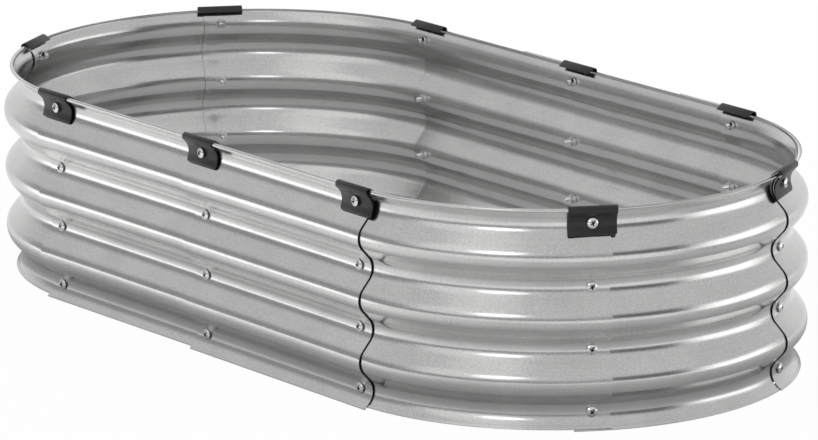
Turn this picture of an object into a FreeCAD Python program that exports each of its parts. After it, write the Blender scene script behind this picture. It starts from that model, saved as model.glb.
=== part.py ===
"""Raised garden bed: corrugated steel sheets bolted into an open, stadium-shaped wall.

Millimetres. +X runs along the bed, -Y is the front, +Z is up. The origin is the middle of the
ground line. Each seam has a frame of its own: its x axis points out of the bed, its y axis runs
anticlockwise along the wall and its origin is on the wall's valley line, at ground level.
"""
import FreeCAD
import Part
import Sketcher

import math
import os

from FreeCAD import Placement, Rotation, Vector

# Driving dimensions, in millimetres. The rows of bolts lie in the valleys of the corrugation.
SIZES = {
    "side_span": 303.5,            # between neighbouring seams of a straight side
    "end_radius": 287.0,           # of a rounded end, to the middle of the sheet in a valley
    "corrugation_pitch": 75.0,
    "corrugation_depth": 20.0,     # from valley to ridge
    "corrugation_radius": 20.0,    # of the valleys and ridges, to the middle of the sheet
    "foot_drop": 21.3,             # from the lowest valley to the ground
    "rim_rise": 21.2,              # from the top valley to the top of the rim
    "sheet_gauge": 0.6,
    "lap_reach": 21.5,             # a sheet runs this far past its row of bolts
    "lap_clearance": 0.7,          # between lapped sheets, square to the flanks
    "end_clearance": 2.0,          # between a rim bead or hem and the next one in line
    "bead_radius": 2.4,
    "bead_setback": 0.5,           # the bead's centre, inwards from the middle of the sheet
    "hem_rise": 3.5,
    "foot_step": 2.2,              # by which some sheets stop short of the ground
    "rim_bolt_rise": 2.6,          # of a clip's bolt over the valley line
    "thread_diameter": 6.0,
    "hole_clearance": 0.6,         # on the diameter
    "bolt_reach": 18.0,            # length under the head
    "head_diameter": 12.5,
    "head_rise": 3.4,
    "head_edge": 1.2,              # upright edge of the head, below its dome
    "recess_span": 6.2,
    "recess_slot": 1.5,
    "recess_depth": 1.9,
    "seat_clearance": 0.15,        # under heads and washers
    "washer_diameter": 13.0,
    "washer_gauge": 1.2,
    "nut_flats": 10.0,
    "nut_rise": 5.0,
    "nut_chamfer": 0.9,
    "thread_clearance": 0.1,       # on the diameter, in the nuts
    "clip_span": 58.0,
    "clip_gauge": 1.2,
    "clip_clearance": 0.5,         # over the bead, and between the clip's foot and the wall
    "clip_hook_set": 0.25,         # of its bend inwards, to clear the rim where that curves away
    "clip_standoff": 2.4,          # from the wall to the clip, in the valley
    "clip_valley_radius": 18.0,
    "clip_foot_drop": 13.0,        # of the clip's foot below the valley line
    "clip_flange_reach": 8.5,
    "clip_flange_fall": 36.0,      # degrees, of the flange inside the rim
    "clip_corner_radius": 5.0,
}

VALLEYS = 4
END_SHEETS = 3
SEAM_TURN = 180.0 / END_SHEETS

RIGHT, LEFT = 1, -1

# Seams, anticlockwise from the front left corner: name, place along X in side spans, and angle
# of the outward direction.
SEAMS = [
    ("front_left", LEFT, -90.0),
    ("front_middle", 0, -90.0),
    ("front_right", RIGHT, -90.0),
    ("right_front", RIGHT, -30.0),
    ("right_back", RIGHT, 30.0),
    ("back_right", RIGHT, 90.0),
    ("back_middle", 0, 90.0),
    ("back_left", LEFT, 90.0),
    ("left_back", LEFT, 150.0),
    ("left_front", LEFT, 210.0),
]

# How a sheet's end lies on its neighbour's. A curved end over a straight one stands further out.
UNDER, OVER, CURVED_OVER_STRAIGHT = range(3)
CURVED_OVER_STRAIGHT_SEAM = "back_left"

# Sheets: name, middle along X in side spans (straight) or end of the bed (curved), outward
# direction, laps at the clockwise and the anticlockwise end, and steps of its foot off the ground.
STRAIGHT_SHEETS = [
    ("front_left_panel", -0.5, -90.0, (OVER, UNDER), 1),
    ("front_right_panel", 0.5, -90.0, (OVER, OVER), 0),
    ("back_right_panel", 0.5, 90.0, (OVER, UNDER), 0),
    ("back_left_panel", -0.5, 90.0, (OVER, UNDER), 0),
]
CURVED_SHEETS = [
    ("right_end_front_panel", RIGHT, -60.0, (UNDER, OVER), 1),
    ("right_end_middle_panel", RIGHT, 0.0, (UNDER, UNDER), 0),
    ("right_end_back_panel", RIGHT, 60.0, (OVER, UNDER), 0),
    ("left_end_back_panel", LEFT, 120.0, (CURVED_OVER_STRAIGHT, UNDER), 0),
    ("left_end_middle_panel", LEFT, 180.0, (OVER, UNDER), 0),
    ("left_end_front_panel", LEFT, 240.0, (OVER, UNDER), 2),
]

doc = FreeCAD.newDocument("garden_bed")
UP = Vector(0, 0, 1)


def make_sizes():
    """The driving dimensions, one row each: its name, then its value."""
    sheet = doc.addObject("Spreadsheet::Sheet", "sizes")
    for row, (name, value) in enumerate(SIZES.items(), start=1):
        sheet.set(f"A{row}", name)
        sheet.set(f"B{row}", str(value))
        sheet.setAlias(f"B{row}", name)
    doc.recompute()
    return sheet


sizes = make_sizes()


# ---- shape of the wall, worked out from the sheet ----

def flank_angle():
    """Slope of the straight flanks that join the valleys' arcs to the ridges' arcs."""
    half_pitch = sizes.corrugation_pitch / 2
    overlap = 2 * sizes.corrugation_radius - sizes.corrugation_depth
    lean = math.atan2(half_pitch, overlap)
    return lean - math.acos(2 * sizes.corrugation_radius / math.hypot(overlap, half_pitch))


FLANK = flank_angle()
LAP_STEP = (sizes.sheet_gauge + sizes.lap_clearance) / math.cos(FLANK)
LAP_SAG = sizes.lap_reach ** 2 / (2 * sizes.end_radius)
TOP_VALLEY = sizes.foot_drop + (VALLEYS - 1) * sizes.corrugation_pitch
RIM_TOP = TOP_VALLEY + sizes.rim_rise
BEAD_LEVEL = RIM_TOP - sizes.bead_radius


def wall_offset(drop):
    """How far out the middle of the sheet lies, at a height over or under a valley line."""
    radius = sizes.corrugation_radius
    height = abs(drop)
    arc_height = radius * math.sin(FLANK)
    if height <= arc_height:
        return radius - math.sqrt(radius ** 2 - height ** 2)
    return radius * (1 - math.cos(FLANK)) + (height - arc_height) * math.tan(FLANK)


BEAD_OFFSET = wall_offset(BEAD_LEVEL - TOP_VALLEY) - sizes.bead_setback


def valley_level(row):
    return sizes.foot_drop + row * sizes.corrugation_pitch


def face_arcs(shift):
    """Arcs of one face of the sheet, bottom to top: centre, radius and side of the centre."""
    radius = sizes.corrugation_radius
    arcs = []
    for row in range(VALLEYS):
        level = valley_level(row)
        arcs.append((Vector(radius, level, 0), radius - shift, -1))
        if row < VALLEYS - 1:
            ridge = level + sizes.corrugation_pitch / 2
            arcs.append((Vector(sizes.corrugation_depth - radius, ridge, 0), radius + shift, 1))
    return arcs


def arc_point(arc, angle):
    centre, radius, side = arc
    return centre + Vector(side * radius * math.cos(angle), radius * math.sin(angle), 0)


def flank_at_level(arc, end, level):
    """Point where the flank beyond one end (-1 low, +1 high) of a valley's arc has a level."""
    start = arc_point(arc, end * FLANK)
    return Vector(start.x + abs(level - start.y) * math.tan(FLANK), level, 0)


def flank_on_bead(arc, bead):
    """Point where the flank above the top valley meets the round of the rim bead."""
    start = arc_point(arc, FLANK)
    along = Vector(math.sin(FLANK), math.cos(FLANK), 0)
    reach = (bead - start).dot(along)
    off = (bead - start - along * reach).Length
    return start + along * (reach - math.sqrt(sizes.bead_radius ** 2 - off ** 2))


def face_edges(arcs, low, high):
    """Edges of one face of the sheet, from its lowest point to its highest."""
    edges = []
    last = low
    for arc in arcs:
        start, end = arc_point(arc, -FLANK), arc_point(arc, FLANK)
        edges.append(Part.LineSegment(last, start))
        edges.append(Part.Arc(start, arc_point(arc, 0), end))
        last = end
    edges.append(Part.LineSegment(last, high))
    return edges


def sheet_section(foot_level, reach):
    """Closed section of a sheet and its hollow rim bead, moved out by reach."""
    half = sizes.sheet_gauge / 2
    inner, outer = face_arcs(-half), face_arcs(half)
    bead = Vector(BEAD_OFFSET, BEAD_LEVEL, 0)
    inner_low = flank_at_level(inner[0], -1, foot_level)
    outer_low = flank_at_level(outer[0], -1, foot_level)
    inner_high = flank_on_bead(inner[-1], bead)
    outer_high = flank_on_bead(outer[-1], bead)
    edges = face_edges(inner, inner_low, inner_high)
    edges.append(Part.Arc(inner_high, bead + Vector(0, sizes.bead_radius, 0), outer_high))
    edges += face_edges(outer, outer_low, outer_high)
    edges.append(Part.LineSegment(outer_low, inner_low))
    edges.append(Part.Circle(bead, UP, sizes.bead_radius - sizes.sheet_gauge))
    return moved_out(edges, reach)


def hem_section(foot_level, reach):
    """Section of the hem: the foot of the sheet folded back up on its outer face."""
    outer = face_arcs(sizes.sheet_gauge / 2)[0]
    fold = Vector(sizes.sheet_gauge / math.cos(FLANK), 0, 0)
    low = flank_at_level(outer, -1, foot_level)
    high = flank_at_level(outer, -1, foot_level + sizes.hem_rise)
    corners = [low, high, high + fold, low + fold]
    edges = [Part.LineSegment(*pair) for pair in zip(corners, corners[1:] + corners[:1])]
    return moved_out(edges, reach)


def bead_cut_section(reach):
    """Box that clears the bead off a lap that lies under its neighbour."""
    low = BEAD_LEVEL - sizes.bead_radius - sizes.lap_clearance
    high = RIM_TOP + sizes.corrugation_depth
    depth = sizes.corrugation_depth
    corners = [Vector(-depth, low, 0), Vector(2 * depth, low, 0),
               Vector(2 * depth, high, 0), Vector(-depth, high, 0)]
    edges = [Part.LineSegment(*pair) for pair in zip(corners, corners[1:] + corners[:1])]
    return moved_out(edges, reach)


def moved_out(edges, reach):
    for edge in edges:
        edge.translate(Vector(reach, 0, 0))
    return edges


# ---- helpers for bodies and sketches ----

def new_body(label):
    body = doc.addObject("PartDesign::Body", label)
    body.Label = label
    return body


def new_sketch(body, name, plane_role, offset=Placement()):
    sketch = body.newObject("Sketcher::SketchObject", name)
    planes = [feature for feature in body.Origin.OriginFeatures if feature.Role == plane_role]
    sketch.AttachmentSupport = [(planes[0], "")]
    sketch.MapMode = "FlatFace"
    sketch.AttachmentOffset = offset
    return sketch


def bound_circle(sketch, centre, place, radius_size):
    """A circle whose radius and centre follow expressions; place gives the centre's."""
    index = sketch.addGeometry(Part.Circle(Vector(*centre, 0), UP, 1.0), False)
    radius = sketch.addConstraint(Sketcher.Constraint("Radius", index, 1.0))
    sketch.setExpression(f"Constraints[{radius}]", radius_size)
    for kind, value, expression in zip(("DistanceX", "DistanceY"), centre, place):
        rule = sketch.addConstraint(Sketcher.Constraint(kind, -1, 1, index, 3, value))
        sketch.setExpression(f"Constraints[{rule}]", expression)


def drawn_sketch(body, name, edges, offset=Placement()):
    """Sketch of the given edges at the body's own XZ plane."""
    sketch = new_sketch(body, name, "XZ_Plane", offset)
    for edge in edges:
        sketch.addGeometry(edge, False)
    return sketch


def through_pocket(body, name, sketch):
    pocket = body.newObject("PartDesign::Pocket", name)
    pocket.Profile = sketch
    pocket.Type = "ThroughAll"
    pocket.Midplane = True
    return pocket


HOLE_RADIUS = "(sizes.thread_diameter + sizes.hole_clearance) / 2"


def row_expression(row):
    """Level of a row of bolts; the top row goes through the rim clips and sits higher."""
    level = f"sizes.foot_drop + {row} * sizes.corrugation_pitch"
    return level + " + sizes.rim_bolt_rise" if row == VALLEYS - 1 else level


def row_level(row):
    return valley_level(row) + (sizes.rim_bolt_rise if row == VALLEYS - 1 else 0)


def lap_offset(lap):
    """How far out an end of a sheet lies from the wall's own line."""
    return {UNDER: 0.0, OVER: LAP_STEP, CURVED_OVER_STRAIGHT: LAP_STEP + LAP_SAG}[lap]


def hem_reach(lap):
    """How far the hem runs past the seam; it stops short of a lap that lies under."""
    return -sizes.lap_reach - sizes.end_clearance if lap == UNDER else sizes.lap_reach


# ---- corrugated sheets ----

def drawn_out(body, kind, name, edges, middle, length):
    """A Pad or Pocket of a section along the sheet, about a place along it."""
    sketch = drawn_sketch(body, f"{name}_section", edges, Placement(Vector(0, 0, -middle), Rotation()))
    feature = body.newObject(kind, name)
    feature.Profile = sketch
    feature.Midplane = True
    feature.setExpression("Length", length)
    return feature


def turned_round(body, kind, name, edges, middle, angle):
    """A Revolution or Groove of a section about the middle of the rounded end."""
    place = Placement(Vector(), Rotation(Vector(0, 1, 0), middle))
    sketch = drawn_sketch(body, f"{name}_section", edges, place)
    feature = body.newObject(kind, name)
    feature.Profile = sketch
    feature.ReferenceAxis = (sketch, ["V_Axis"])
    feature.Midplane = True
    feature.setExpression("Angle", angle)
    return feature


def straight_sheet(name, middle, direction, laps, steps):
    """A straight sheet: section, hem and notches drawn along it, then its rows of holes."""
    body = new_body(name)
    foot_level = steps * sizes.foot_step
    drawn_out(body, "PartDesign::Pad", f"{name}_run", sheet_section(foot_level, 0.0), 0.0,
              "sizes.side_span + 2 * sizes.lap_reach")
    before, after = (hem_reach(lap) for lap in laps)
    drawn_out(body, "PartDesign::Pad", f"{name}_hem", hem_section(foot_level, 0.0),
              (after - before) / 2, f"sizes.side_span + {before + after}")
    for end, lap in zip((-1, 1), laps):
        if lap == UNDER:
            drawn_out(body, "PartDesign::Pocket", f"{name}_notch_{end + 1}",
                      bead_cut_section(0.0), end * sizes.side_span / 2,
                      "2 * (sizes.lap_reach + sizes.end_clearance)")
    holes = new_sketch(body, f"{name}_hole_rows", "YZ_Plane")
    for end in (-1, 1):
        for row in range(VALLEYS):
            bound_circle(holes, (end * sizes.side_span / 2, row_level(row)),
                         (f"{end} * sizes.side_span / 2", row_expression(row)), HOLE_RADIUS)
    through_pocket(body, f"{name}_holes", holes)
    low, high = (lap_offset(lap) for lap in laps)
    turn = direction - math.degrees(math.asin((high - low) / sizes.side_span))
    outward = Rotation(UP, direction).multVec(Vector(1, 0, 0))
    base = Vector(middle * sizes.side_span, 0, 0) + outward * (sizes.end_radius + (low + high) / 2)
    body.Placement = Placement(base, Rotation(UP, turn))
    return body


def curved_sheet(name, end_of_bed, direction, laps, steps):
    """A curved sheet: section, hem and notches turned round the end, then its rows of holes."""
    body = new_body(name)
    foot_level = steps * sizes.foot_step
    low, high = (lap_offset(lap) for lap in laps)
    half_turn = SEAM_TURN / 2
    reach = sizes.end_radius + (low + high) / 2
    shift = (high - low) / (2 * math.sin(math.radians(half_turn)))
    turn_back = -math.degrees(shift * math.cos(math.radians(half_turn)) / sizes.end_radius)
    to_degrees = "/ sizes.end_radius * 180 / pi"
    turned_round(body, "PartDesign::Revolution", f"{name}_sweep",
                 sheet_section(foot_level, reach), turn_back,
                 f"{SEAM_TURN} + 2 * sizes.lap_reach {to_degrees}")
    before, after = (math.degrees(hem_reach(lap) / sizes.end_radius) for lap in laps)
    turned_round(body, "PartDesign::Revolution", f"{name}_hem", hem_section(foot_level, reach),
                 turn_back + (after - before) / 2, f"{SEAM_TURN} + {before + after}")
    for end, lap in zip((-1, 1), laps):
        if lap == UNDER:
            turned_round(body, "PartDesign::Groove", f"{name}_notch_{end + 1}",
                         bead_cut_section(reach), turn_back + end * half_turn,
                         f"2 * (sizes.lap_reach + sizes.end_clearance) {to_degrees}")
    for end in (-1, 1):
        seam_plane = Placement(Vector(-shift, 0, 0), Rotation(Vector(0, 1, 0), end * half_turn))
        holes = new_sketch(body, f"{name}_hole_row_{end + 1}", "YZ_Plane", seam_plane)
        for row in range(VALLEYS):
            bound_circle(holes, (0.0, row_level(row)), ("0", row_expression(row)), HOLE_RADIUS)
        through_pocket(body, f"{name}_holes_{end + 1}", holes)
    turn = Rotation(UP, direction)
    middle = Vector(end_of_bed * sizes.side_span, 0, 0)
    body.Placement = Placement(middle + turn.multVec(Vector(0, shift, 0)), turn)
    return body


# ---- rim clips ----

def clip_shape():
    """Centres, radii and tangent angles of the clip's section, in a seam's frame."""
    half = sizes.clip_gauge / 2
    bend = Vector(BEAD_OFFSET + LAP_STEP / 2 - sizes.clip_hook_set, BEAD_LEVEL, 0)
    bend_radius = sizes.bead_radius + LAP_STEP / 2 + sizes.clip_clearance + half
    back = sizes.sheet_gauge / 2 + LAP_STEP + sizes.clip_standoff
    valley_radius = sizes.clip_valley_radius
    valley = Vector(back + half + valley_radius, TOP_VALLEY, 0)
    across = valley - bend
    lean = -math.atan2(across.y, across.x)
    upper = lean - math.acos((valley_radius + bend_radius) / across.Length)
    wall_face = wall_offset(sizes.clip_foot_drop) + sizes.sheet_gauge / 2 / math.cos(FLANK)
    foot = Vector(wall_face + LAP_STEP + sizes.clip_clearance,
                  TOP_VALLEY - sizes.clip_foot_drop, 0)
    across = valley - foot
    lower = math.atan2(across.y, across.x) - math.acos((valley_radius + half) / across.Length)
    return bend, bend_radius, valley, valley_radius, upper, lower, foot


def polar(centre, radius, angle):
    return centre + Vector(radius * math.cos(angle), radius * math.sin(angle), 0)


def clip_face(side):
    """One face of the clip, foot to flange: side is -1 for the back and +1 for the front."""
    bend, bend_radius, valley, valley_radius, upper, lower, foot = clip_shape()
    half = sizes.clip_gauge / 2
    inner = valley_radius - side * half
    outer = bend_radius + side * half
    fall = math.radians(sizes.clip_flange_fall)
    if side > 0:
        foot = foot + Vector(math.cos(lower), math.sin(lower), 0) * sizes.clip_gauge
    points = [foot, polar(valley, inner, math.pi + lower), polar(valley, inner, math.pi),
              polar(valley, inner, math.pi - upper), polar(bend, outer, -upper),
              polar(bend, outer, math.pi / 4), polar(bend, outer, math.pi / 2 + fall)]
    tip = points[-1] - Vector(math.cos(fall), math.sin(fall), 0) * sizes.clip_flange_reach
    leg = [Part.LineSegment(points[0], points[1]), Part.Arc(*points[1:4]),
           Part.LineSegment(points[3], points[4]), Part.Arc(*points[4:7]),
           Part.LineSegment(points[6], tip)]
    return leg, foot, tip


def rim_clip(seam, direction, base):
    """Bent strip hooked over the rim, with a hole for the seam's top bolt."""
    name = f"{seam}_clip"
    body = new_body(name)
    back, back_foot, back_tip = clip_face(-1)
    front, front_foot, front_tip = clip_face(1)
    ends = [Part.LineSegment(back_foot, front_foot), Part.LineSegment(back_tip, front_tip)]
    drawn_out(body, "PartDesign::Pad", f"{name}_strip", back + front + ends, 0.0,
              "sizes.clip_span")
    hole = new_sketch(body, f"{name}_hole_row", "YZ_Plane")
    bound_circle(hole, (0.0, row_level(VALLEYS - 1)), ("0", row_expression(VALLEYS - 1)),
                 HOLE_RADIUS)
    drilled = through_pocket(body, f"{name}_hole", hole)
    doc.recompute()
    rounding = body.newObject("PartDesign::Fillet", f"{name}_corners")
    rounding.Base = (drilled, foot_corners(drilled.Shape))
    rounding.setExpression("Radius", "sizes.clip_corner_radius")
    body.Placement = Placement(base, Rotation(UP, direction))
    return body


def foot_corners(shape):
    """Names of the two short edges at the corners of a clip's foot."""
    names = []
    for index, edge in enumerate(shape.Edges, start=1):
        box = edge.BoundBox
        at_end = abs(abs(box.Center.y) - sizes.clip_span / 2) < sizes.clip_gauge / 2
        low = box.ZMax < TOP_VALLEY - sizes.clip_foot_drop + sizes.clip_gauge
        if at_end and low and edge.Length < 1.5 * sizes.clip_gauge:
            names.append(f"Edge{index}")
    return names


# ---- bolts, washers and nuts ----

def seat_rise(width, radius, off_centre=0.0):
    """How far a flat seat stands off the bottom of a round valley that it spans."""
    reach = width / 2 + off_centre
    return radius - math.sqrt(radius ** 2 - reach ** 2)


def bolt():
    """Pan-head bolt along X: the seat of its head is at the origin and its shank is inside."""
    body = new_body("bolt")
    head, shank = sizes.head_diameter / 2, sizes.thread_diameter / 2
    tip = sizes.nut_chamfer
    section = new_sketch(body, "bolt_section", "XZ_Plane")
    points = [Vector(-sizes.bolt_reach, 0, 0), Vector(-sizes.bolt_reach, shank - tip, 0),
              Vector(-sizes.bolt_reach + tip, shank, 0), Vector(0, shank, 0),
              Vector(0, head, 0), Vector(sizes.head_edge, head, 0)]
    for start, end in zip(points, points[1:]):
        section.addGeometry(Part.LineSegment(start, end), False)
    crown = Vector(sizes.head_rise, 0, 0)
    rise = sizes.head_rise - sizes.head_edge
    dome = (head ** 2 + rise ** 2) / (2 * rise)
    shoulder = math.asin(head / dome) / 2
    middle = Vector(sizes.head_rise - dome + dome * math.cos(shoulder), dome * math.sin(shoulder), 0)
    section.addGeometry(Part.Arc(points[-1], middle, crown), False)
    section.addGeometry(Part.LineSegment(crown, points[0]), False)
    turned = body.newObject("PartDesign::Revolution", "bolt_turned")
    turned.Profile = section
    turned.ReferenceAxis = (section, ["H_Axis"])
    turned.Angle = 360
    crown_plane = Placement(Vector(0, 0, sizes.head_rise - sizes.recess_depth), Rotation())
    cross = new_sketch(body, "bolt_cross", "YZ_Plane", crown_plane)
    arm, slot = sizes.recess_span / 2, sizes.recess_slot / 2
    outline = [(arm, -slot), (arm, slot), (slot, slot), (slot, arm), (-slot, arm), (-slot, slot),
               (-arm, slot), (-arm, -slot), (-slot, -slot), (-slot, -arm), (slot, -arm),
               (slot, -slot)]
    corners = [Vector(*point, 0) for point in outline]
    for start, end in zip(corners, corners[1:] + corners[:1]):
        cross.addGeometry(Part.LineSegment(start, end), False)
    recess = body.newObject("PartDesign::Pocket", "bolt_recess")
    recess.Profile = cross
    recess.Reversed = True
    recess.setExpression("Length", "2 * sizes.recess_depth")
    return body


def washer():
    """Flat washer: its outer face, against the wall, is at the origin."""
    body = new_body("washer")
    ring = new_sketch(body, "washer_ring", "YZ_Plane")
    bound_circle(ring, (0.0, 0.0), ("0", "0"), "sizes.washer_diameter / 2")
    bound_circle(ring, (0.0, 0.0), ("0", "0"), HOLE_RADIUS)
    disc = body.newObject("PartDesign::Pad", "washer_disc")
    disc.Profile = ring
    disc.Reversed = True
    disc.setExpression("Length", "sizes.washer_gauge")
    return body


def nut():
    """Hexagon nut: its outer face, against the washer, is at the origin."""
    body = new_body("nut")
    hexagon = new_sketch(body, "nut_hexagon", "YZ_Plane")
    corner = sizes.nut_flats / 2 / math.cos(math.pi / 6)
    corners = [polar(Vector(), corner, side * math.pi / 3) for side in range(6)]
    for start, end in zip(corners, corners[1:] + corners[:1]):
        hexagon.addGeometry(Part.LineSegment(start, end), False)
    bound_circle(hexagon, (0.0, 0.0), ("0", "0"),
                 "(sizes.thread_diameter + sizes.thread_clearance) / 2")
    prism = body.newObject("PartDesign::Pad", "nut_prism")
    prism.Profile = hexagon
    prism.Reversed = True
    prism.setExpression("Length", "sizes.nut_rise")
    trim = new_sketch(body, "nut_trim", "XZ_Plane")
    face, flat = -sizes.nut_rise, sizes.nut_flats / 2
    over = sizes.nut_chamfer
    points = [Vector(face, flat, 0), Vector(face + over, flat + 2 * over, 0),
              Vector(face - over, flat + 2 * over, 0), Vector(face - over, flat, 0)]
    for start, end in zip(points, points[1:] + points[:1]):
        trim.addGeometry(Part.LineSegment(start, end), False)
    chamfer = body.newObject("PartDesign::Groove", "nut_chamfer")
    chamfer.Profile = trim
    chamfer.ReferenceAxis = (trim, ["H_Axis"])
    chamfer.Angle = 360
    return body


def rows_of(master, wall_seat, clip_seat):
    """Links that put a fastener at each row of a seam, in the seam's own frame."""
    links = []
    for row in range(VALLEYS):
        link = doc.addObject("App::Link", f"{master.Label}_row_{row}")
        link.LinkedObject = master
        seat = clip_seat if row == VALLEYS - 1 else wall_seat
        link.Placement = Placement(Vector(seat, 0, row_level(row)), Rotation())
        links.append(link)
    return links


def fastener_rows():
    """Rows of bolts, washers and nuts that every seam repeats."""
    skin = sizes.sheet_gauge / 2
    clip_back = skin + LAP_STEP + sizes.clip_standoff
    wall_seat = skin + LAP_STEP + sizes.seat_clearance
    wall_seat += seat_rise(sizes.head_diameter, sizes.corrugation_radius - skin)
    clip_seat = clip_back + sizes.clip_gauge + sizes.seat_clearance
    clip_seat += seat_rise(sizes.head_diameter, sizes.clip_valley_radius - sizes.clip_gauge / 2,
                           sizes.rim_bolt_rise)
    inside = -skin - sizes.seat_clearance
    nut_seat = inside - sizes.washer_gauge
    return {"bolts": rows_of(bolt(), wall_seat, clip_seat),
            "washers": rows_of(washer(), inside, inside),
            "nuts": rows_of(nut(), nut_seat, nut_seat)}


def fastener_group(name, links, direction, base):
    group = doc.addObject("Part::Compound", name)
    group.Label = name
    group.Links = links
    group.Placement = Placement(base, Rotation(UP, direction))
    return group


# ---- the whole bed ----

def make_bed():
    parts = [straight_sheet(*sheet) for sheet in STRAIGHT_SHEETS]
    parts += [curved_sheet(*sheet) for sheet in CURVED_SHEETS]
    rows = fastener_rows()
    for seam, place, direction in SEAMS:
        outward = Rotation(UP, direction).multVec(Vector(1, 0, 0))
        base = Vector(place * sizes.side_span, 0, 0) + outward * sizes.end_radius
        proud = base
        if seam == CURVED_OVER_STRAIGHT_SEAM:
            proud = base + outward * LAP_SAG
        parts.append(rim_clip(seam, direction, proud))
        parts.append(fastener_group(f"{seam}_bolts", rows["bolts"], direction, proud))
        for kind in ("washers", "nuts"):
            parts.append(fastener_group(f"{seam}_{kind}", rows[kind], direction, base))
    doc.recompute()
    return parts


def check_document(parts):
    for item in doc.Objects:
        if "Invalid" in item.State or "Error" in item.State:
            raise RuntimeError(f"{item.Label} failed: {item.State}")
    for item in parts:
        if item.Shape.isNull() or not item.Shape.isValid() or not item.Shape.Solids:
            raise RuntimeError(f"{item.Label} has no valid shape")


def write_parts(parts):
    os.makedirs("parts", exist_ok=True)
    for item in parts:
        item.Shape.exportStep(f"parts/{item.Label}.step")
        print(f"{item.Label}: {len(item.Shape.Solids)} solids, {item.Shape.Volume:.0f} mm3")


bed = make_bed()
check_document(bed)
write_parts(bed)
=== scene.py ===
"""Looks of the raised garden bed: galvanised sheets, dark rim clips and bright fasteners.

Metres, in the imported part's frame. A sheet is drawn as the outline of its folded steel, swept
along its run and given its gauge; a clip and a bolt are modelled once and copied to their seams.
"""

import math
import random
from collections import namedtuple

import bmesh
import bpy
from mathutils import Matrix, Vector


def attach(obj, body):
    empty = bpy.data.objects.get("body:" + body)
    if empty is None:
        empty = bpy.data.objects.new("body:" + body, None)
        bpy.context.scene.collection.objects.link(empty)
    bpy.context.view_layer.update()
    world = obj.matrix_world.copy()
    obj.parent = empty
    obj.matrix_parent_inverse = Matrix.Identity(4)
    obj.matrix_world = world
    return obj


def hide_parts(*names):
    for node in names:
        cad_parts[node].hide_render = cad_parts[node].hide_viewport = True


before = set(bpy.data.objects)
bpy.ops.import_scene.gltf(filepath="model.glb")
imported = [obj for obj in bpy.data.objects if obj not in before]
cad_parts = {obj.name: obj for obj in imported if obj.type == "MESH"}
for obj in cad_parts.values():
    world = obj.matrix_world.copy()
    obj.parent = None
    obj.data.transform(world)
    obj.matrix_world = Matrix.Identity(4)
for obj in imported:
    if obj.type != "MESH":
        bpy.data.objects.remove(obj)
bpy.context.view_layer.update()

MM = 0.001
NEAR = 0.01 * MM               # points nearer than this are one
QUARTER = math.pi / 2

SIDE_SPAN = 303.5 * MM         # between neighbouring seams of a straight side
END_RADIUS = 287.0 * MM        # of a rounded end, to the middle of the sheet in a valley
PITCH = 75.0 * MM
DEPTH = 20.0 * MM
CURVE = 20.0 * MM              # radius of the valleys and ridges
FOOT_DROP = 21.3 * MM
RIM_RISE = 21.2 * MM
GAUGE = 0.6 * MM
DRAWN_GAUGE = 0.5 * MM         # of the sheets drawn here, whose faces lie just inside the solids'
LAP_REACH = 21.5 * MM
LAP_GAP = 0.7 * MM
END_GAP = 2.0 * MM
BEAD = 2.4 * MM
BEAD_SETBACK = 0.5 * MM
HEM_RISE = 3.5 * MM
FOOT_STEP = 2.2 * MM
RIM_BOLT_RISE = 2.6 * MM
SEAT_GAP = 0.15 * MM
VALLEYS = 4
SEAM_TURN = math.radians(60.0)

HEM_FOLD = 0.6 * GAUGE         # radius of the folded foot
BEAD_LEAD = 0.55 * BEAD
BEAD_ENTRY = math.radians(228.0)    # round the bead, where the sheet runs into it
BEAD_OVERLAP = math.radians(18.0)
BEAD_END = math.radians(-108.0)

THREAD = 3.0 * MM              # radius of a bolt's shank
THREAD_DEPTH = 0.45 * MM
THREAD_PITCH = 1.0 * MM
THREAD_TURNS = 13
THREAD_START = 0.9 * MM        # from the bolt's tip
CREST = (0.38, 0.55)           # of a thread, as shares of its pitch
LAST_CREST = 1.3               # start of the plain shank, in pitches of the last thread
TIP_RISE = 0.7 * MM
TIP_TAPER = 0.5 * MM
BOLT_REACH = 18.0 * MM
HEAD = 6.25 * MM               # radius of a bolt's head
HEAD_RISE = 3.4 * MM
HEAD_EDGE = 1.2 * MM
HEAD_ROUND = 0.3 * MM
RECESS_DEPTH = 2.2 * MM
RECESS_SPAN = 7.4 * MM
RECESS_WIDTH = 2.1 * MM
RECESS_PROUD = 1.0 * MM        # of the cutting wedge over the head
RECESS_TAPER = (1, 0.5, 0.7)   # of the wedge's inner end

CLIP_SPAN = 58.0 * MM
CLIP_GAUGE = 1.2 * MM
CLIP_CLEARANCE = 0.5 * MM
CLIP_HOOK_SET = 0.25 * MM
CLIP_STANDOFF = 2.4 * MM
CLIP_VALLEY = 18.0 * MM
CLIP_FOOT_DROP = 13.0 * MM
CLIP_FLANGE = 8.5 * MM
CLIP_FALL = math.radians(36.0)
CLIP_CORNER = 3.6 * MM
CLIP_EDGE = 0.22 * MM

ARC_STEPS = 14
BEAD_STEPS = 20
HEM_STEPS = 6
CORNER_STEPS = 8               # round a corner of a clip's foot
TURN_STEPS = 46                # along the middle of a curved sheet
LAP_STEPS = 8                  # along each of its laps
FLAT_STEPS = 4                 # along the flat end of a lap
BOLT_STEPS = 28                # round a bolt
EDGE_STEPS = 3                 # round the edge of its head
DOME_STEPS = 8

# Seams: name, place along X in side spans, and angle of the outward direction in degrees.
SEAMS = [
    ("front_left", -1, -90), ("front_middle", 0, -90), ("front_right", 1, -90),
    ("right_front", 1, -30), ("right_back", 1, 30),
    ("back_right", 1, 90), ("back_middle", 0, 90), ("back_left", -1, 90),
    ("left_back", -1, 150), ("left_front", -1, 210),
]
CURVED_OVER_STRAIGHT_SEAM = "back_left"
UNDER, OVER, CURVED_OVER_STRAIGHT = range(3)

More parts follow.
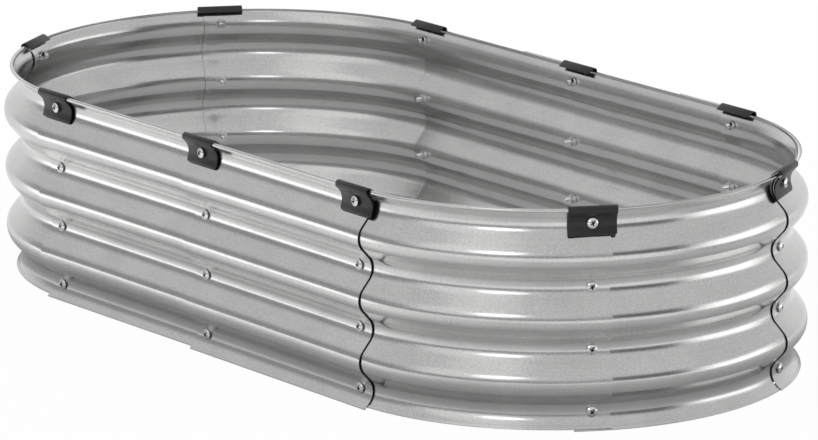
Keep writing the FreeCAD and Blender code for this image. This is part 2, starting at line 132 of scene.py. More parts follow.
# Sheets: name, middle along X in side spans or end of the bed, outward direction in degrees,
# laps at the clockwise and the anticlockwise end, and steps of its foot off the ground.
STRAIGHT_SHEETS = [
    ("front_left_panel", -0.5, -90, (OVER, UNDER), 1),
    ("front_right_panel", 0.5, -90, (OVER, OVER), 0),
    ("back_right_panel", 0.5, 90, (OVER, UNDER), 0),
    ("back_left_panel", -0.5, 90, (OVER, UNDER), 0),
]
CURVED_SHEETS = [
    ("right_end_front_panel", 1, -60, (UNDER, OVER), 1),
    ("right_end_middle_panel", 1, 0, (UNDER, UNDER), 0),
    ("right_end_back_panel", 1, 60, (OVER, UNDER), 0),
    ("left_end_back_panel", -1, 120, (CURVED_OVER_STRAIGHT, UNDER), 0),
    ("left_end_middle_panel", -1, 180, (OVER, UNDER), 0),
    ("left_end_front_panel", -1, 240, (OVER, UNDER), 2),
]


# ---- shape of the wall ----

def flank_angle():
    """Slope of the straight flanks between the valleys' arcs and the ridges' arcs."""
    overlap = 2 * CURVE - DEPTH
    lean = math.atan2(PITCH / 2, overlap)
    return lean - math.acos(2 * CURVE / math.hypot(overlap, PITCH / 2))


FLANK = flank_angle()
LAP_STEP = (GAUGE + LAP_GAP) / math.cos(FLANK)
LAP_SAG = LAP_REACH ** 2 / (2 * END_RADIUS)
LAP_RUN = 2 * LAP_REACH + END_GAP
LAP_TURN = LAP_RUN / END_RADIUS
SHEET_TURN = SEAM_TURN + 2 * LAP_REACH / END_RADIUS
HEM_TOP = 1.5 * HEM_RISE       # over a sheet's foot, where the test for its hem stops
HEM_PROUD = 0.4 * GAUGE        # past the wall's line, where a face is the hem's
TOP_VALLEY = FOOT_DROP + (VALLEYS - 1) * PITCH
RIM_TOP = TOP_VALLEY + RIM_RISE
BEAD_LEVEL = RIM_TOP - BEAD
BEAD_CUT = BEAD_LEVEL - BEAD - LAP_GAP


def wall_offset(drop):
    """How far out the middle of the sheet lies, at a height over or under a valley line."""
    height = abs(drop)
    arc_height = CURVE * math.sin(FLANK)
    if height <= arc_height:
        return CURVE - math.sqrt(CURVE ** 2 - height ** 2)
    return CURVE * (1 - math.cos(FLANK)) + (height - arc_height) * math.tan(FLANK)


BEAD_OFFSET = wall_offset(BEAD_LEVEL - TOP_VALLEY) - BEAD_SETBACK


def lap_offset(lap):
    return {UNDER: 0.0, OVER: LAP_STEP, CURVED_OVER_STRAIGHT: LAP_STEP + LAP_SAG}[lap]


def arc(centre, radius, start, end, steps):
    """Points of an arc in a section's plane, at angles from its x axis."""
    x, z = centre
    angles = [start + (end - start) * step / steps for step in range(steps + 1)]
    return [(x + radius * math.cos(angle), z + radius * math.sin(angle)) for angle in angles]


def corrugation():
    """Middle line of the corrugations, from the lowest valley's arc to the top one's."""
    points = []
    for row in range(VALLEYS):
        level = FOOT_DROP + row * PITCH
        points += arc((CURVE, level), CURVE, math.pi + FLANK, math.pi - FLANK, ARC_STEPS)
        if row < VALLEYS - 1:
            ridge = (DEPTH - CURVE, level + PITCH / 2)
            points += arc(ridge, CURVE, -FLANK, FLANK, ARC_STEPS)
    return points


def hem(foot_level):
    """Folded foot of a sheet: down its outer layer, round the fold and onto the wall's line."""
    along = (math.sin(FLANK), -math.cos(FLANK))
    square = (math.cos(FLANK), math.sin(FLANK))
    level = foot_level + HEM_FOLD + GAUGE / 2
    foot = (wall_offset(FOOT_DROP - level), level)
    centre = (foot[0] + square[0] * HEM_FOLD, foot[1] + square[1] * HEM_FOLD)
    rise = HEM_RISE - HEM_FOLD
    top = (centre[0] + square[0] * HEM_FOLD - along[0] * rise,
           centre[1] + square[1] * HEM_FOLD - along[1] * rise)
    return [top] + arc(centre, HEM_FOLD, FLANK, FLANK - math.pi, HEM_STEPS)


def bead():
    """Rolled rim: off the top flank, round the inside of the bead and back under it."""
    radius = BEAD - GAUGE / 2
    start = (wall_offset(BEAD_CUT - TOP_VALLEY), BEAD_CUT)
    throat = (BEAD_OFFSET + (radius + BEAD_LEAD / 2) * math.cos(BEAD_ENTRY),
              BEAD_LEVEL + (radius + BEAD_LEAD / 2) * math.sin(BEAD_ENTRY))
    roll = arc((BEAD_OFFSET, BEAD_LEVEL), radius, BEAD_ENTRY - BEAD_OVERLAP, BEAD_END, BEAD_STEPS)
    return [start, throat] + roll


def sheet_outline(foot_level):
    return hem(foot_level) + corrugation() + bead()


# ---- modelling by operators ----

def deselect():
    if bpy.context.mode != "OBJECT":
        bpy.ops.object.mode_set(mode="OBJECT")
    bpy.ops.object.select_all(action="DESELECT")


def pick(piece):
    """Makes a piece the only one selected."""
    deselect()
    piece.select_set(True)
    bpy.context.view_layer.objects.active = piece


def draw_outline(name, points):
    """A chain of edges, extruded point by point from a plane merged to a single vertex."""
    deselect()
    bpy.ops.mesh.primitive_plane_add(size=GAUGE, location=points[0])
    piece = bpy.context.object
    piece.name = name
    piece.data.name = name
    bpy.ops.object.mode_set(mode="EDIT")
    bpy.ops.mesh.select_mode(type="VERT")
    bpy.ops.mesh.select_all(action="SELECT")
    bpy.ops.mesh.merge(type="CENTER")
    for last, point in zip(points, points[1:]):
        bpy.ops.mesh.extrude_region_move(TRANSFORM_OT_translate={"value": point - last})
    bpy.ops.mesh.select_all(action="SELECT")
    return piece


def extrude_run(lengths, along=(0, 1, 0)):
    """Extrudes the selected outline in a straight run, once for each length."""
    for length in lengths:
        bpy.ops.mesh.extrude_region_move(TRANSFORM_OT_translate={"value": Vector(along) * length})


def close_doubles():
    """Joins the points that a spin leaves double, and turns the faces one way."""
    bpy.ops.mesh.select_all(action="SELECT")
    bpy.ops.mesh.remove_doubles(threshold=NEAR)
    bpy.ops.mesh.normals_make_consistent(inside=False)


def resize_chosen(piece, chosen, value):
    """Resizes the points that the test chooses, about the origin; the piece is in edit mode."""
    mesh = bmesh.from_edit_mesh(piece.data)
    bpy.ops.mesh.select_mode(type="VERT")
    for vert in mesh.verts:
        vert.select_set(chosen(vert.co))
    mesh.select_flush_mode()
    bmesh.update_edit_mesh(piece.data)
    bpy.ops.transform.resize(value=value, center_override=(0, 0, 0))


def delete_faces(piece, chosen):
    """Deletes the faces whose middle the test chooses; the piece is in edit mode."""
    mesh = bmesh.from_edit_mesh(piece.data)
    bpy.ops.mesh.select_mode(type="FACE")
    for face in mesh.faces:
        face.select_set(chosen(face.calc_center_median()))
    bmesh.update_edit_mesh(piece.data)
    if any(face.select for face in mesh.faces):
        bpy.ops.mesh.delete(type="FACE")


def apply_place(piece, turn=0.0, place=(0, 0, 0)):
    """Settles a piece's turn and place into its mesh."""
    pick(piece)
    bpy.ops.object.transform_apply(location=True, rotation=True, scale=True)
    piece.rotation_euler = (0, 0, turn)
    piece.location = place
    bpy.ops.object.transform_apply(location=True, rotation=True, scale=True)


def thicken(piece, gauge, edge_slot=0):
    """Gives a surface its gauge, half to each side."""
    solid = piece.modifiers.new("gauge", "SOLIDIFY")
    solid.thickness = gauge
    solid.offset = 0.0
    solid.use_even_offset = True
    solid.use_quality_normals = True
    solid.material_offset_rim = edge_slot
    bpy.ops.object.modifier_apply(modifier=solid.name)


def ease_edges(piece, width):
    """Rounds the sharp edges of a piece."""
    eased = piece.modifiers.new("eased", "BEVEL")
    eased.width = width
    eased.segments = 2
    eased.limit_method = "ANGLE"
    eased.angle_limit = math.radians(50)
    bpy.ops.object.modifier_apply(modifier=eased.name)


def smooth(piece, degrees):
    pick(piece)
    bpy.ops.object.shade_smooth_by_angle(angle=math.radians(degrees))


def flat_map(piece, unrolled):
    """UV map of a sheet laid flat: metres along its run and metres up."""
    layer = piece.data.uv_layers.get("Sheet") or piece.data.uv_layers.new(name="Sheet")
    for loop in piece.data.loops:
        layer.data[loop.index].uv = unrolled(piece.data.vertices[loop.vertex_index].co)
    piece.data.uv_layers.active = layer


# ---- sheets ----

def notch_test(foot_level, laps, first_end, last_end, run_of, offset_of):
    """Test for the faces of bead and hem that a lap under its neighbour goes without."""
    def chosen(middle):
        run = run_of(middle)
        at_lap = ((laps[0] == UNDER and run < first_end) or (laps[1] == UNDER and run > last_end))
        on_bead = middle.z > BEAD_CUT
        proud = offset_of(middle) - wall_offset(min(middle.z, FOOT_DROP) - FOOT_DROP)
        on_hem = middle.z < foot_level + HEM_TOP and proud > HEM_PROUD
        return at_lap and (on_bead or on_hem)
    return chosen


def straight_sheet(name, laps, foot_level):
    """A straight sheet's surface along y, its wall at x = 0, and the map that lays it flat."""
    half = SIDE_SPAN / 2 + LAP_REACH
    points = [Vector((x, -half, z)) for x, z in sheet_outline(foot_level)]
    piece = draw_outline(f"{name}_steel", points)
    lap_run = [LAP_RUN / 3] * 3
    extrude_run(lap_run + [(2 * half - 2 * LAP_RUN) / 6] * 6 + lap_run)
    delete_faces(piece, notch_test(foot_level, laps, LAP_RUN - half, half - LAP_RUN,
                                   lambda co: co.y, lambda co: co.x))
    return piece, lambda co: (co.y, co.z)


def curved_sheet(name, laps, foot_level):
    """A sheet's surface turned round an end from the x axis, and the map that lays it flat.

    A last lap that lies over its neighbour ends in a flat run.
    """
    low, high = (lap_offset(lap) for lap in laps)
    reach = END_RADIUS + (low + high) / 2
    points = [Vector((reach + x, 0, z)) for x, z in sheet_outline(foot_level)]
    piece = draw_outline(f"{name}_steel", points)
    flat_end = LAP_REACH if laps[1] == OVER else 0.0
    left_flat = flat_end / END_RADIUS
    turns = ((LAP_TURN, LAP_STEPS), (SHEET_TURN - 2 * LAP_TURN, TURN_STEPS),
             (LAP_TURN - left_flat, LAP_STEPS))
    for turn, steps in turns:
        bpy.ops.mesh.spin(steps=steps, angle=turn, center=(0, 0, 0), axis=(0, 0, -1))
    if flat_end:
        end = SHEET_TURN - left_flat
        extrude_run([flat_end / FLAT_STEPS] * FLAT_STEPS, (-math.sin(end), math.cos(end), 0))
    delete_faces(piece, notch_test(foot_level, laps, LAP_TURN, SHEET_TURN - LAP_TURN,
                                   lambda co: math.atan2(co.y, co.x),
                                   lambda co: math.hypot(co.x, co.y) - reach))
    return piece, lambda co: (math.atan2(co.y, co.x) * END_RADIUS, co.z)


def finish_sheet(piece, unrolled, turn, place):
    close_doubles()
    bpy.ops.object.mode_set(mode="OBJECT")
    apply_place(piece)
    # The rim faces take slot 1, the cut edge, painted near black as the shade along the laps.
    thicken(piece, DRAWN_GAUGE, edge_slot=1)
    flat_map(piece, unrolled)
    apply_place(piece, turn, place)
    smooth(piece, 40)
    piece.data.materials.append(galvanised)
    piece.data.materials.append(cut_edge_painted_shade)


def settle(piece, node):
    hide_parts(node)
    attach(piece, "root")


def lay_straight_sheet(name, middle, direction, laps, steps):
    """A straight sheet in its place, slanted where one of its laps lies further out."""
    piece, unrolled = straight_sheet(name, laps, steps * FOOT_STEP)
    low, high = (lap_offset(lap) for lap in laps)
    turn = math.radians(direction)
    slant = math.asin((high - low) / SIDE_SPAN)
    outward = Matrix.Rotation(turn, 3, "Z") @ Vector((1, 0, 0))
    place = Vector((middle * SIDE_SPAN, 0, 0)) + outward * (END_RADIUS + (low + high) / 2)
    finish_sheet(piece, unrolled, turn - slant, place)
    settle(piece, name)


def lay_curved_sheet(name, end_of_bed, direction, laps, steps):
    """A curved sheet in its place, shifted sideways where one of its laps lies further out."""
    piece, unrolled = curved_sheet(name, laps, steps * FOOT_STEP)
    low, high = (lap_offset(lap) for lap in laps)
    turn = math.radians(direction)
    shift = (high - low) / (2 * math.sin(SEAM_TURN / 2))
    turn_back = shift * math.cos(SEAM_TURN / 2) / END_RADIUS + SHEET_TURN / 2
    place = Vector((end_of_bed * SIDE_SPAN, 0, 0))
    place += Matrix.Rotation(turn, 3, "Z") @ Vector((0, shift, 0))
    finish_sheet(piece, unrolled, turn - turn_back, place)
    settle(piece, name)


def make_sheets():
    for sheet in STRAIGHT_SHEETS:
        lay_straight_sheet(*sheet)
    for sheet in CURVED_SHEETS:
        lay_curved_sheet(*sheet)


# ---- clips ----

def touching_line(centre, radius, spot, spot_radius):
    """Direction from a round spot to an arc's centre, and how far off it both are touched."""
    across = (centre[0] - spot[0], centre[1] - spot[1])
    lean = math.acos((radius + spot_radius) / math.hypot(*across))
    return math.atan2(across[1], across[0]), lean


def clip_outline():
    """Middle line of a clip, foot to flange, in its seam's frame."""
    half = CLIP_GAUGE / 2
    bend = (BEAD_OFFSET + LAP_STEP / 2 - CLIP_HOOK_SET, BEAD_LEVEL)
    bend_radius = BEAD + LAP_STEP / 2 + CLIP_CLEARANCE + half
    back = GAUGE / 2 + LAP_STEP + CLIP_STANDOFF
    valley = (back + half + CLIP_VALLEY, TOP_VALLEY)
    rise, lean = touching_line(valley, CLIP_VALLEY, bend, bend_radius)
    upper = -rise - lean
    foot_face = wall_offset(CLIP_FOOT_DROP) + GAUGE / 2 / math.cos(FLANK)
    foot = (foot_face + LAP_STEP + CLIP_CLEARANCE, TOP_VALLEY - CLIP_FOOT_DROP)
    rise, lean = touching_line(valley, CLIP_VALLEY, foot, half)
    lower = rise - lean
    points = []
    for step in range(CORNER_STEPS + 1):
        row = CLIP_CORNER * (1 - math.cos(QUARTER * step / CORNER_STEPS))
        points.append((foot[0] + half * math.cos(lower) - row * math.sin(lower),
                       foot[1] + half * math.sin(lower) + row * math.cos(lower)))
    points += arc(valley, CLIP_VALLEY, math.pi + lower, math.pi - upper, ARC_STEPS)
    points += arc(bend, bend_radius, -upper, QUARTER + CLIP_FALL, BEAD_STEPS)
    tip = points[-1]
    points.append((tip[0] - CLIP_FLANGE * math.cos(CLIP_FALL),
                   tip[1] - CLIP_FLANGE * math.sin(CLIP_FALL)))
    return points


def round_foot(piece, outline):
    """Draws the strip in towards its foot, row by row, for the foot's rounded corners."""
    bpy.ops.object.mode_set(mode="EDIT")
    for step, spot in zip(range(CORNER_STEPS), outline):
        drawn_in = CLIP_CORNER * (1 - math.sin(QUARTER * step / CORNER_STEPS))
        resize_chosen(piece, lambda co: math.dist((co.x, co.z), spot) < NEAR,
                      (1, 1 - 2 * drawn_in / CLIP_SPAN, 1))
    bpy.ops.object.mode_set(mode="OBJECT")


def clip():
    """One clip in a seam's frame: bent strip, rounded foot corners, eased edges."""
    outline = clip_outline()
    piece = draw_outline("clip", [Vector((x, -CLIP_SPAN / 2, z)) for x, z in outline])
    extrude_run([CLIP_SPAN])
    apply_place(piece)
    round_foot(piece, outline)
    thicken(piece, CLIP_GAUGE)
    ease_edges(piece, CLIP_EDGE)
    smooth(piece, 35)
    piece.data.materials.append(charcoal_paint)
    return piece


# ---- bolts ----

def thread_outline():
    """Tip, threads and plain shank of a bolt, up to the underside of its head."""
    root = THREAD - THREAD_DEPTH
    points = [(-BOLT_REACH, 0), (-BOLT_REACH, root - TIP_TAPER), (-BOLT_REACH + TIP_RISE, root)]
    for turn in range(THREAD_TURNS):
        start = -BOLT_REACH + THREAD_START + turn * THREAD_PITCH
        points.append((start, root))
        points += [(start + share * THREAD_PITCH, THREAD) for share in CREST]
    points += [(start + THREAD_PITCH, root), (start + LAST_CREST * THREAD_PITCH, THREAD), (0, THREAD)]
    return points


def head_outline():
    """Underside, rounded edge and dome of a pan head."""
    points = [(0, HEAD - HEAD_ROUND)]
    points += arc((HEAD_ROUND, HEAD - HEAD_ROUND), HEAD_ROUND, math.pi, QUARTER, EDGE_STEPS)[1:]
    rise = HEAD_RISE - HEAD_EDGE
    dome = (HEAD ** 2 + rise ** 2) / (2 * rise)
    return points + arc((HEAD_RISE - dome, 0), dome, math.asin(HEAD / dome), 0, DOME_STEPS)


def recess_wedge(turn):
    """One arm of the cross that cuts the head's recess, narrower at its inner end."""
    middle = HEAD_RISE + (RECESS_PROUD - RECESS_DEPTH) / 2
    deselect()
    bpy.ops.mesh.primitive_cube_add(size=1.0, location=(middle, 0, 0))
    wedge = bpy.context.object
    # The wedge's material passes to the walls it cuts: painted shade in the recess.
    wedge.data.materials.append(recess_shade)
    wedge.scale = (RECESS_DEPTH + RECESS_PROUD, RECESS_SPAN, RECESS_WIDTH)
    bpy.ops.object.transform_apply(location=True, rotation=True, scale=True)
    bpy.ops.object.mode_set(mode="EDIT")
    resize_chosen(wedge, lambda co: co.x < middle, RECESS_TAPER)
    bpy.ops.object.mode_set(mode="OBJECT")
    wedge.rotation_euler = (turn, 0, 0)
    bpy.ops.object.transform_apply(location=True, rotation=True, scale=True)
    return wedge


def bolt():
    """One bolt along x: its half section turned round, and the cross cut into its head."""
    points = [Vector((x, 0, z)) for x, z in thread_outline() + head_outline()]
    piece = draw_outline("bolt", points)
    bpy.ops.mesh.spin(steps=BOLT_STEPS, angle=2 * math.pi, center=(0, 0, 0), axis=(1, 0, 0))
    close_doubles()
    apply_place(piece)
    piece.data.materials.append(bright_zinc)
    for wedge in (recess_wedge(0), recess_wedge(QUARTER)):
        cut = piece.modifiers.new("recess", "BOOLEAN")
        cut.operation = "DIFFERENCE"
        cut.solver = "EXACT"
        # The cut walls take the wedge's painted recess shade.
        cut.material_mode = "TRANSFER"
        cut.object = wedge
        pick(piece)
        bpy.ops.object.modifier_apply(modifier=cut.name)
        bpy.data.objects.remove(wedge)
    smooth(piece, 32)
    return piece


# ---- laying the seams ----

def copy_of(piece, name, matrix):
    mesh = piece.data.copy()
    mesh.transform(matrix)
    copy = bpy.data.objects.new(name, mesh)
    bpy.context.scene.collection.objects.link(copy)
    return copy


def joined(copies, name):
    pick(copies[0])
    for copy in copies:
        copy.select_set(True)
    bpy.ops.object.join()
    piece = bpy.context.object
    piece.name = name
    piece.data.name = name
    return piece


def seat_rise(width, radius, off_centre=0.0):
    """How far a flat disc stands off the middle of the hollow that it bridges."""
    reach = width / 2 + off_centre
    return radius - math.sqrt(radius ** 2 - reach ** 2)


def seam_matrix(place, direction, proud):
    turn = Matrix.Rotation(math.radians(direction), 4, "Z")
    return Matrix.Translation((place * SIDE_SPAN, 0, 0)) @ turn @ Matrix.Translation(
        (END_RADIUS + proud, 0, 0))


def make_seams():
    master_clip, master_bolt = clip(), bolt()
    draw = random.Random(7)
    wall_seat = GAUGE / 2 + LAP_STEP + SEAT_GAP + seat_rise(2 * HEAD, CURVE - GAUGE / 2)
    clip_seat = GAUGE / 2 + LAP_STEP + CLIP_STANDOFF + CLIP_GAUGE + SEAT_GAP
    clip_seat += seat_rise(2 * HEAD, CLIP_VALLEY - CLIP_GAUGE / 2, RIM_BOLT_RISE)
    for seam, place, direction in SEAMS:
        proud = LAP_SAG if seam == CURVED_OVER_STRAIGHT_SEAM else 0.0
        frame_of_seam = seam_matrix(place, direction, proud)
        settle(copy_of(master_clip, f"{seam}_clip_painted", frame_of_seam), f"{seam}_clip")
        bolts = []
        for row in range(VALLEYS):
            top = row == VALLEYS - 1
            level = FOOT_DROP + row * PITCH + (RIM_BOLT_RISE if top else 0)
            spot = Matrix.Translation((clip_seat if top else wall_seat, 0, level))
            twist = Matrix.Rotation(draw.uniform(0, QUARTER), 4, "X")
            bolts.append(copy_of(master_bolt, f"{seam}_bolt_{row}", frame_of_seam @ spot @ twist))
        settle(joined(bolts, f"{seam}_bolts_zinc"), f"{seam}_bolts")
    for master in (master_clip, master_bolt):
        bpy.data.objects.remove(master)


def plate_washers_and_nuts():
    for node_name, cad_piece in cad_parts.items():
        if node_name.endswith(("_washers", "_nuts")):
            cad_piece.data.materials.clear()
            cad_piece.data.materials.append(bright_zinc)


# ---- nodes of materials and world ----

def put(tree, socket, value):
    """Sets a socket to a number, or joins another socket to it."""
    if isinstance(value, bpy.types.NodeSocket):
        tree.links.new(value, socket)
    else:
        socket.default_value = value


def add_node(tree, kind, **inputs):
    """A node with its inputs put; an underscore in a name stands for a space."""
    added = tree.nodes.new(kind)
    for name, value in inputs.items():
        put(tree, added.inputs[name.replace("_", " ")], value)
    return added


def add_math(tree, operation, *values):
    """Result of a Math node on numbers or sockets."""
    added = tree.nodes.new("ShaderNodeMath")
    added.operation = operation
    for socket, value in zip(added.inputs, values):
        put(tree, socket, value)
    return added.outputs["Value"]


def add_range(tree, value, low, high, start=0.3, end=0.7, kind="LINEAR"):
    """A value between start and end, spread from low to high."""
    spread = add_node(tree, "ShaderNodeMapRange", Value=value, From_Min=start, From_Max=end,
                      To_Min=low, To_Max=high)
    spread.interpolation_type = kind
    return spread.outputs["Result"]


def fade(tree, value, start, end):
    """Rises softly from nothing at start to all at end."""
    return add_range(tree, value, 0.0, 1.0, start, end, "SMOOTHSTEP")


def coordinates(tree, kind):
    return tree.nodes.new("ShaderNodeTexCoord").outputs[kind]


def add_noise(tree, vector, scale, detail=2.0, roughness=0.5, stretch=(1.0, 1.0, 1.0)):
    """Noise on a vector that is stretched along each axis."""
    mapping = add_node(tree, "ShaderNodeMapping", Vector=vector, Scale=stretch)
    noise = add_node(tree, "ShaderNodeTexNoise", Vector=mapping.outputs["Vector"], Scale=scale,
                     Detail=detail, Roughness=roughness)
    return noise.outputs["Fac"]


def paint(tree, shader, red, green, blue):
    colour = add_node(tree, "ShaderNodeCombineColor", Red=red, Green=green, Blue=blue)
    put(tree, shader.inputs["Base Color"], colour.outputs["Color"])


def paint_grey(tree, shader, tone):
    paint(tree, shader, tone, tone, tone)


def add_relief(tree, shader, height, strength):
    relief = add_node(tree, "ShaderNodeBump", Height=height, Strength=strength, Distance=0.05 * MM)
    put(tree, shader.inputs["Normal"], relief.outputs["Normal"])


# ---- materials ----

SHEET_TINT = (1.0, 0.997, 0.99)    # red, green and blue of the sheets, as shares of their tone


def new_material(name):
    """A new material, its node tree and its shader."""
    made = bpy.data.materials.new(name)
    made.use_nodes = True
    return made, made.node_tree, made.node_tree.nodes["Principled BSDF"]


def make_galvanised():
    """Zinc-coated steel: fine crystals in the coat and streaks along the rolled sheet."""
    made, tree, shader = new_material("galvanised_steel")
    laid_flat = tree.nodes.new("ShaderNodeUVMap")
    laid_flat.uv_map = "Sheet"
    place = coordinates(tree, "Object")
    streaks = add_noise(tree, laid_flat.outputs["UV"], 1.0, 3.0, stretch=(6.0, 420.0, 1.0))
    grain = add_noise(tree, place, 620.0, 2.0, 0.6)
    clouds = add_range(tree, add_noise(tree, place, 16.0, 3.0), 0.60, 0.66)
    streaked = add_math(tree, "ADD", add_range(tree, streaks, -0.012, 0.012), clouds)
    tone = add_math(tree, "ADD", add_range(tree, grain, -0.07, 0.07), streaked)
    paint(tree, shader, *(add_math(tree, "MULTIPLY", tone, share) for share in SHEET_TINT))
    dullness = add_math(tree, "ADD", add_range(tree, grain, -0.03, 0.03),
                        add_range(tree, streaks, 0.19, 0.23))
    put(tree, shader.inputs["Roughness"], dullness)
    shader.inputs["Metallic"].default_value = 1.0
    add_relief(tree, shader, grain, 0.08)
    return made


def make_cut_edge_painted_shade():
    """Sheared edge of the sheet: its dull, faintly mottled tone painted near black as painted shade,
    for the dark shadow line along each lap.
    """
    made, tree, shader = new_material("cut_edge_painted_shade")
    mottle = add_noise(tree, coordinates(tree, "Object"), 300.0)
    paint_grey(tree, shader, add_range(tree, mottle, 0.025, 0.06))
    shader.inputs["Metallic"].default_value = 0.0
    shader.inputs["Roughness"].default_value = 0.7
    return made


def make_charcoal_paint():
    """Satin powder coat, with its fine orange peel."""
    made, tree, shader = new_material("charcoal_paint")
    place = coordinates(tree, "Object")
    peel = add_noise(tree, place, 900.0)
    wear = add_noise(tree, place, 60.0, 3.0)
    paint_grey(tree, shader, add_range(tree, wear, 0.009, 0.015))
    put(tree, shader.inputs["Roughness"], add_range(tree, peel, 0.36, 0.46))
    shader.inputs["Specular IOR Level"].default_value = 0.5
    add_relief(tree, shader, peel, 0.3)
    return made


def make_bright_zinc():
    """Zinc plate on the bolts, washers and nuts."""
    made, tree, shader = new_material("bright_zinc")
    mottle = add_noise(tree, coordinates(tree, "Object"), 700.0)
    paint_grey(tree, shader, add_range(tree, mottle, 0.62, 0.86))
    put(tree, shader.inputs["Roughness"], add_range(tree, mottle, 0.08, 0.16))
    shader.inputs["Metallic"].default_value = 1.0
    return made


def make_recess_shade():
    """Walls of a bolt's cross recess: dull zinc painted dark, as painted shade in the recess."""
    made, tree, shader = new_material("recess_shade")
    mottle = add_noise(tree, coordinates(tree, "Object"), 500.0)
    paint_grey(tree, shader, add_range(tree, mottle, 0.02, 0.05))
    shader.inputs["Metallic"].default_value = 0.3
    shader.inputs["Roughness"].default_value = 0.6
    return made


# ---- camera ----

CAMERA_AZIMUTH = math.radians(51.911)
CAMERA_ELEVATION = math.radians(14.559)
CAMERA_ROLL = math.radians(-0.436)
CAMERA_DISTANCE = 102.319 * PITCH
CAMERA_TARGET = Vector((0.8578 * PITCH, -0.3744 * PITCH, TOP_VALLEY - 1.5 * PITCH))
FOCAL_PIXELS = 6255.1
FRAME_PIXELS = 818


def add_camera():
    """The photograph's viewpoint: a long lens from beyond the near end."""
    across = math.cos(CAMERA_ELEVATION)
    back = Vector((math.sin(CAMERA_AZIMUTH) * across, -math.cos(CAMERA_AZIMUTH) * across,
                   math.sin(CAMERA_ELEVATION)))
    right = Vector((math.cos(CAMERA_AZIMUTH), math.sin(CAMERA_AZIMUTH), 0))
    up = back.cross(right)
    roll = Matrix.Rotation(CAMERA_ROLL, 3, back)
    right, up = roll @ right, roll @ up
    camera_data = bpy.data.cameras.new("camera")
    camera = bpy.data.objects.new("camera", camera_data)
    bpy.context.scene.collection.objects.link(camera)
    turn = Matrix((right, up, back)).transposed().to_4x4()
    camera.matrix_world = Matrix.Translation(CAMERA_TARGET + back * CAMERA_DISTANCE) @ turn
    camera_data.sensor_width = 36.0
    camera_data.lens = FOCAL_PIXELS / FRAME_PIXELS * camera_data.sensor_width
    camera_data.clip_end = 50.0
    bpy.context.scene.camera = camera


# ---- studio ----

# What the metal reflects: areas of the studio, each with the azimuth of its middle, its half width
# and how softly its sides end, its lowest and highest elevation and how softly its top ends (all in
# degrees), and its level. A later one covers an earlier one.
Area = namedtuple("Area", "name azimuth half_width side_fade lowest highest top_fade level")
STUDIO = [
    Area("table beyond the sweep", 0, 180, 9, -90, -1, 1.5, 1.0),
    Area("dark room to the front left", -130, 33, 9, -1, 22, 18, 0.35),
    Area("dark room in front", -62, 42, 9, -1, 13, 9, 0.33),
    Area("unlit corner", 3, 20, 4, -1, 22, 12, 0.15),
    Area("dull table to the right", 58, 34, 14, -90, -9, 8, 0.5),
    Area("soft light by the camera", -84, 22, 9, 12, 68, 8, 0.95),
    Area("white wall behind", 54, 22, 9, -14, 12, 8, 1.75),
    Area("white wall to the left", 140, 42, 9, -20, 32, 8, 0.85),
    Area("lit table edge to the left", -142, 18, 9, -14, -1, 1.5, 1.9),
]
ROOM_LEVEL = 0.70
FOOT_FADE = 1.5                # degrees
ALL_ROUND = 180                # half width of an area without sides


def cover_of(tree, area, azimuth, elevation):
    """How far an area of the studio fills a direction."""
    foot = fade(tree, elevation, area.lowest - FOOT_FADE / 2, area.lowest + FOOT_FADE / 2)
    top = fade(tree, elevation, area.highest + area.top_fade / 2, area.highest - area.top_fade / 2)
    cover = add_math(tree, "MULTIPLY", foot, top)
    if area.half_width == ALL_ROUND:
        return cover
    off_middle = add_math(tree, "SUBTRACT", azimuth, float(area.azimuth))
    aside = add_math(tree, "ABSOLUTE", add_math(tree, "WRAP", off_middle, 180.0, -180.0))
    sides = fade(tree, aside, area.half_width + area.side_fade, area.half_width - area.side_fade)
    return add_math(tree, "MULTIPLY", cover, sides)


def studio_level(tree):
    """Level of the studio in each direction."""
    direction = add_node(tree, "ShaderNodeSeparateXYZ", Vector=coordinates(tree, "Generated"))
    heading = add_math(tree, "ARCTAN2", direction.outputs["Y"], direction.outputs["X"])
    azimuth = add_math(tree, "DEGREES", heading)
    elevation = add_math(tree, "DEGREES", add_math(tree, "ARCSINE", direction.outputs["Z"]))
    level = ROOM_LEVEL
    for area in STUDIO:
        cover = cover_of(tree, area, azimuth, elevation)
        change = add_math(tree, "MULTIPLY", cover, add_math(tree, "SUBTRACT", area.level, level))
        level = add_math(tree, "ADD", change, level)
        level.node.label = area.name
    return level


def add_world():
    """A plain studio for the metal to reflect; the camera sees its white backdrop."""
    world = bpy.data.worlds.new("studio")
    bpy.context.scene.world = world
    world.use_nodes = True
    tree = world.node_tree
    level = studio_level(tree)
    path = tree.nodes.new("ShaderNodeLightPath")
    seen = add_math(tree, "MAXIMUM", path.outputs["Is Camera Ray"], path.outputs["Is Transmission Ray"])
    to_white = add_math(tree, "MULTIPLY", seen, add_math(tree, "SUBTRACT", 1.0, level))
    background = tree.nodes["Background"]
    background.inputs["Color"].default_value = (1, 1, 1, 1)
    put(tree, background.inputs["Strength"], add_math(tree, "ADD", to_white, level))


LAMP_PLACE = Vector((1.04, -1.37, 0.82))
LAMP_AIM = Vector((0.0, 0.0, 0.15))
LAMP_SIZE = (0.56, 0.34)       # across and up
LAMP_POWER = 1.15              # W


def add_lamp():
    """A small softbox near the right end, for the glints on the ends' corrugations."""
    softbox = bpy.data.lights.new("softbox", "AREA")
    softbox.shape = "ELLIPSE"
    softbox.size, softbox.size_y = LAMP_SIZE
    softbox.energy = LAMP_POWER
    lamp = bpy.data.objects.new("softbox", softbox)
    bpy.context.scene.collection.objects.link(lamp)
    lamp.location = LAMP_PLACE
    lamp.rotation_euler = (LAMP_AIM - LAMP_PLACE).to_track_quat("-Z", "Y").to_euler()
    lamp.visible_camera = False


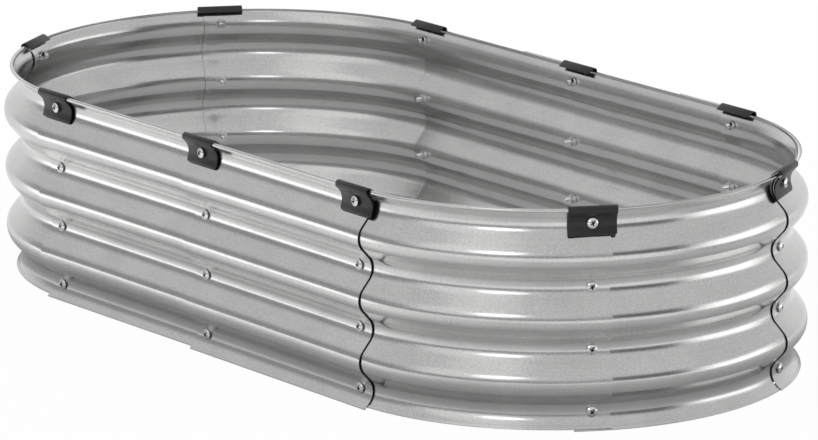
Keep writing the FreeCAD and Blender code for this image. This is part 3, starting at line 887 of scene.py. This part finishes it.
SWEEP_RADIUS = 1.0
SWEEP_DROP = 0.2 * MM          # under the ground that the bed stands on
SWEEP_GREY = 0.66
PAINTED_SHADE_REACH = 0.28             # of the painted shade round the bed's foot, which the metal reflects
FAR_END = 0.8                  # along the bed, where the sweep is darkest
FAR_END_PAINTED_LIGHT = 0.25           # of the sweep's glow that painted shade leaves there
INSIDE_PAINTED_LIGHT = 0.2             # of the sweep's glow on the ground inside the bed; the rest is painted shade
SEEN_WHITE = 0.98              # share of white in what the camera sees; the rest takes shadow
REFLECTED_WHITE = 0.95


def sweep_painted_shade(tree):
    """Share of the sweep's glow that the metal reflects, darkened by painted shade near the bed and to
    the right.
    """
    spot = add_node(tree, "ShaderNodeSeparateXYZ", Vector=coordinates(tree, "Object"))
    past_seams = add_math(tree, "SUBTRACT", add_math(tree, "ABSOLUTE", spot.outputs["X"]), SIDE_SPAN)
    past_side = add_math(tree, "MAXIMUM", past_seams, 0.0)
    squares = [add_math(tree, "POWER", length, 2.0) for length in (past_side, spot.outputs["Y"])]
    out = add_math(tree, "SQRT", add_math(tree, "ADD", *squares))
    # Painted shade: near the bed's foot, towards the right end and on the ground inside the bed.
    clear = fade(tree, out, END_RADIUS, END_RADIUS + PAINTED_SHADE_REACH)
    dimmed = add_range(tree, spot.outputs["X"], 1.0, FAR_END_PAINTED_LIGHT, SIDE_SPAN / 2, FAR_END)
    inside = add_math(tree, "MULTIPLY", add_math(tree, "LESS_THAN", out, END_RADIUS), INSIDE_PAINTED_LIGHT)
    return add_math(tree, "ADD", add_math(tree, "MULTIPLY", clear, dimmed), inside)


def make_white_floor():
    """Shows white to the camera and takes a trace of the bed's shadow; to the metal it glows, with
    painted shade near the bed.
    """
    made = bpy.data.materials.new("white_floor")
    made.use_nodes = True
    tree = made.node_tree
    tree.nodes.clear()
    path = tree.nodes.new("ShaderNodeLightPath")
    reflected = add_math(tree, "MULTIPLY", path.outputs["Is Glossy Ray"], sweep_painted_shade(tree))
    white = add_math(tree, "ADD", add_math(tree, "MULTIPLY", path.outputs["Is Camera Ray"], SEEN_WHITE),
                     add_math(tree, "MULTIPLY", reflected, REFLECTED_WHITE))
    matt = add_node(tree, "ShaderNodeBsdfDiffuse", Color=(SWEEP_GREY, SWEEP_GREY, SWEEP_GREY, 1))
    shown = add_node(tree, "ShaderNodeEmission", Color=(1, 1, 1, 1), Strength=1.0)
    blend = add_node(tree, "ShaderNodeMixShader", Fac=white)
    put(tree, blend.inputs[1], matt.outputs["BSDF"])
    put(tree, blend.inputs[2], shown.outputs["Emission"])
    add_node(tree, "ShaderNodeOutputMaterial", Surface=blend.outputs["Shader"])
    return made


def add_floor():
    deselect()
    bpy.ops.mesh.primitive_circle_add(vertices=96, radius=SWEEP_RADIUS, fill_type="NGON",
                                      location=(0, 0, -SWEEP_DROP))
    floor = bpy.context.object
    floor.name = "floor"
    floor.data.materials.append(make_white_floor())


# ---- the bed, its camera and its studio ----

galvanised = make_galvanised()
cut_edge_painted_shade = make_cut_edge_painted_shade()
recess_shade = make_recess_shade()
charcoal_paint = make_charcoal_paint()
bright_zinc = make_bright_zinc()

make_sheets()
make_seams()
plate_washers_and_nuts()

add_camera()
add_world()
add_lamp()
add_floor()

bpy.context.scene.view_settings.view_transform = "Standard"
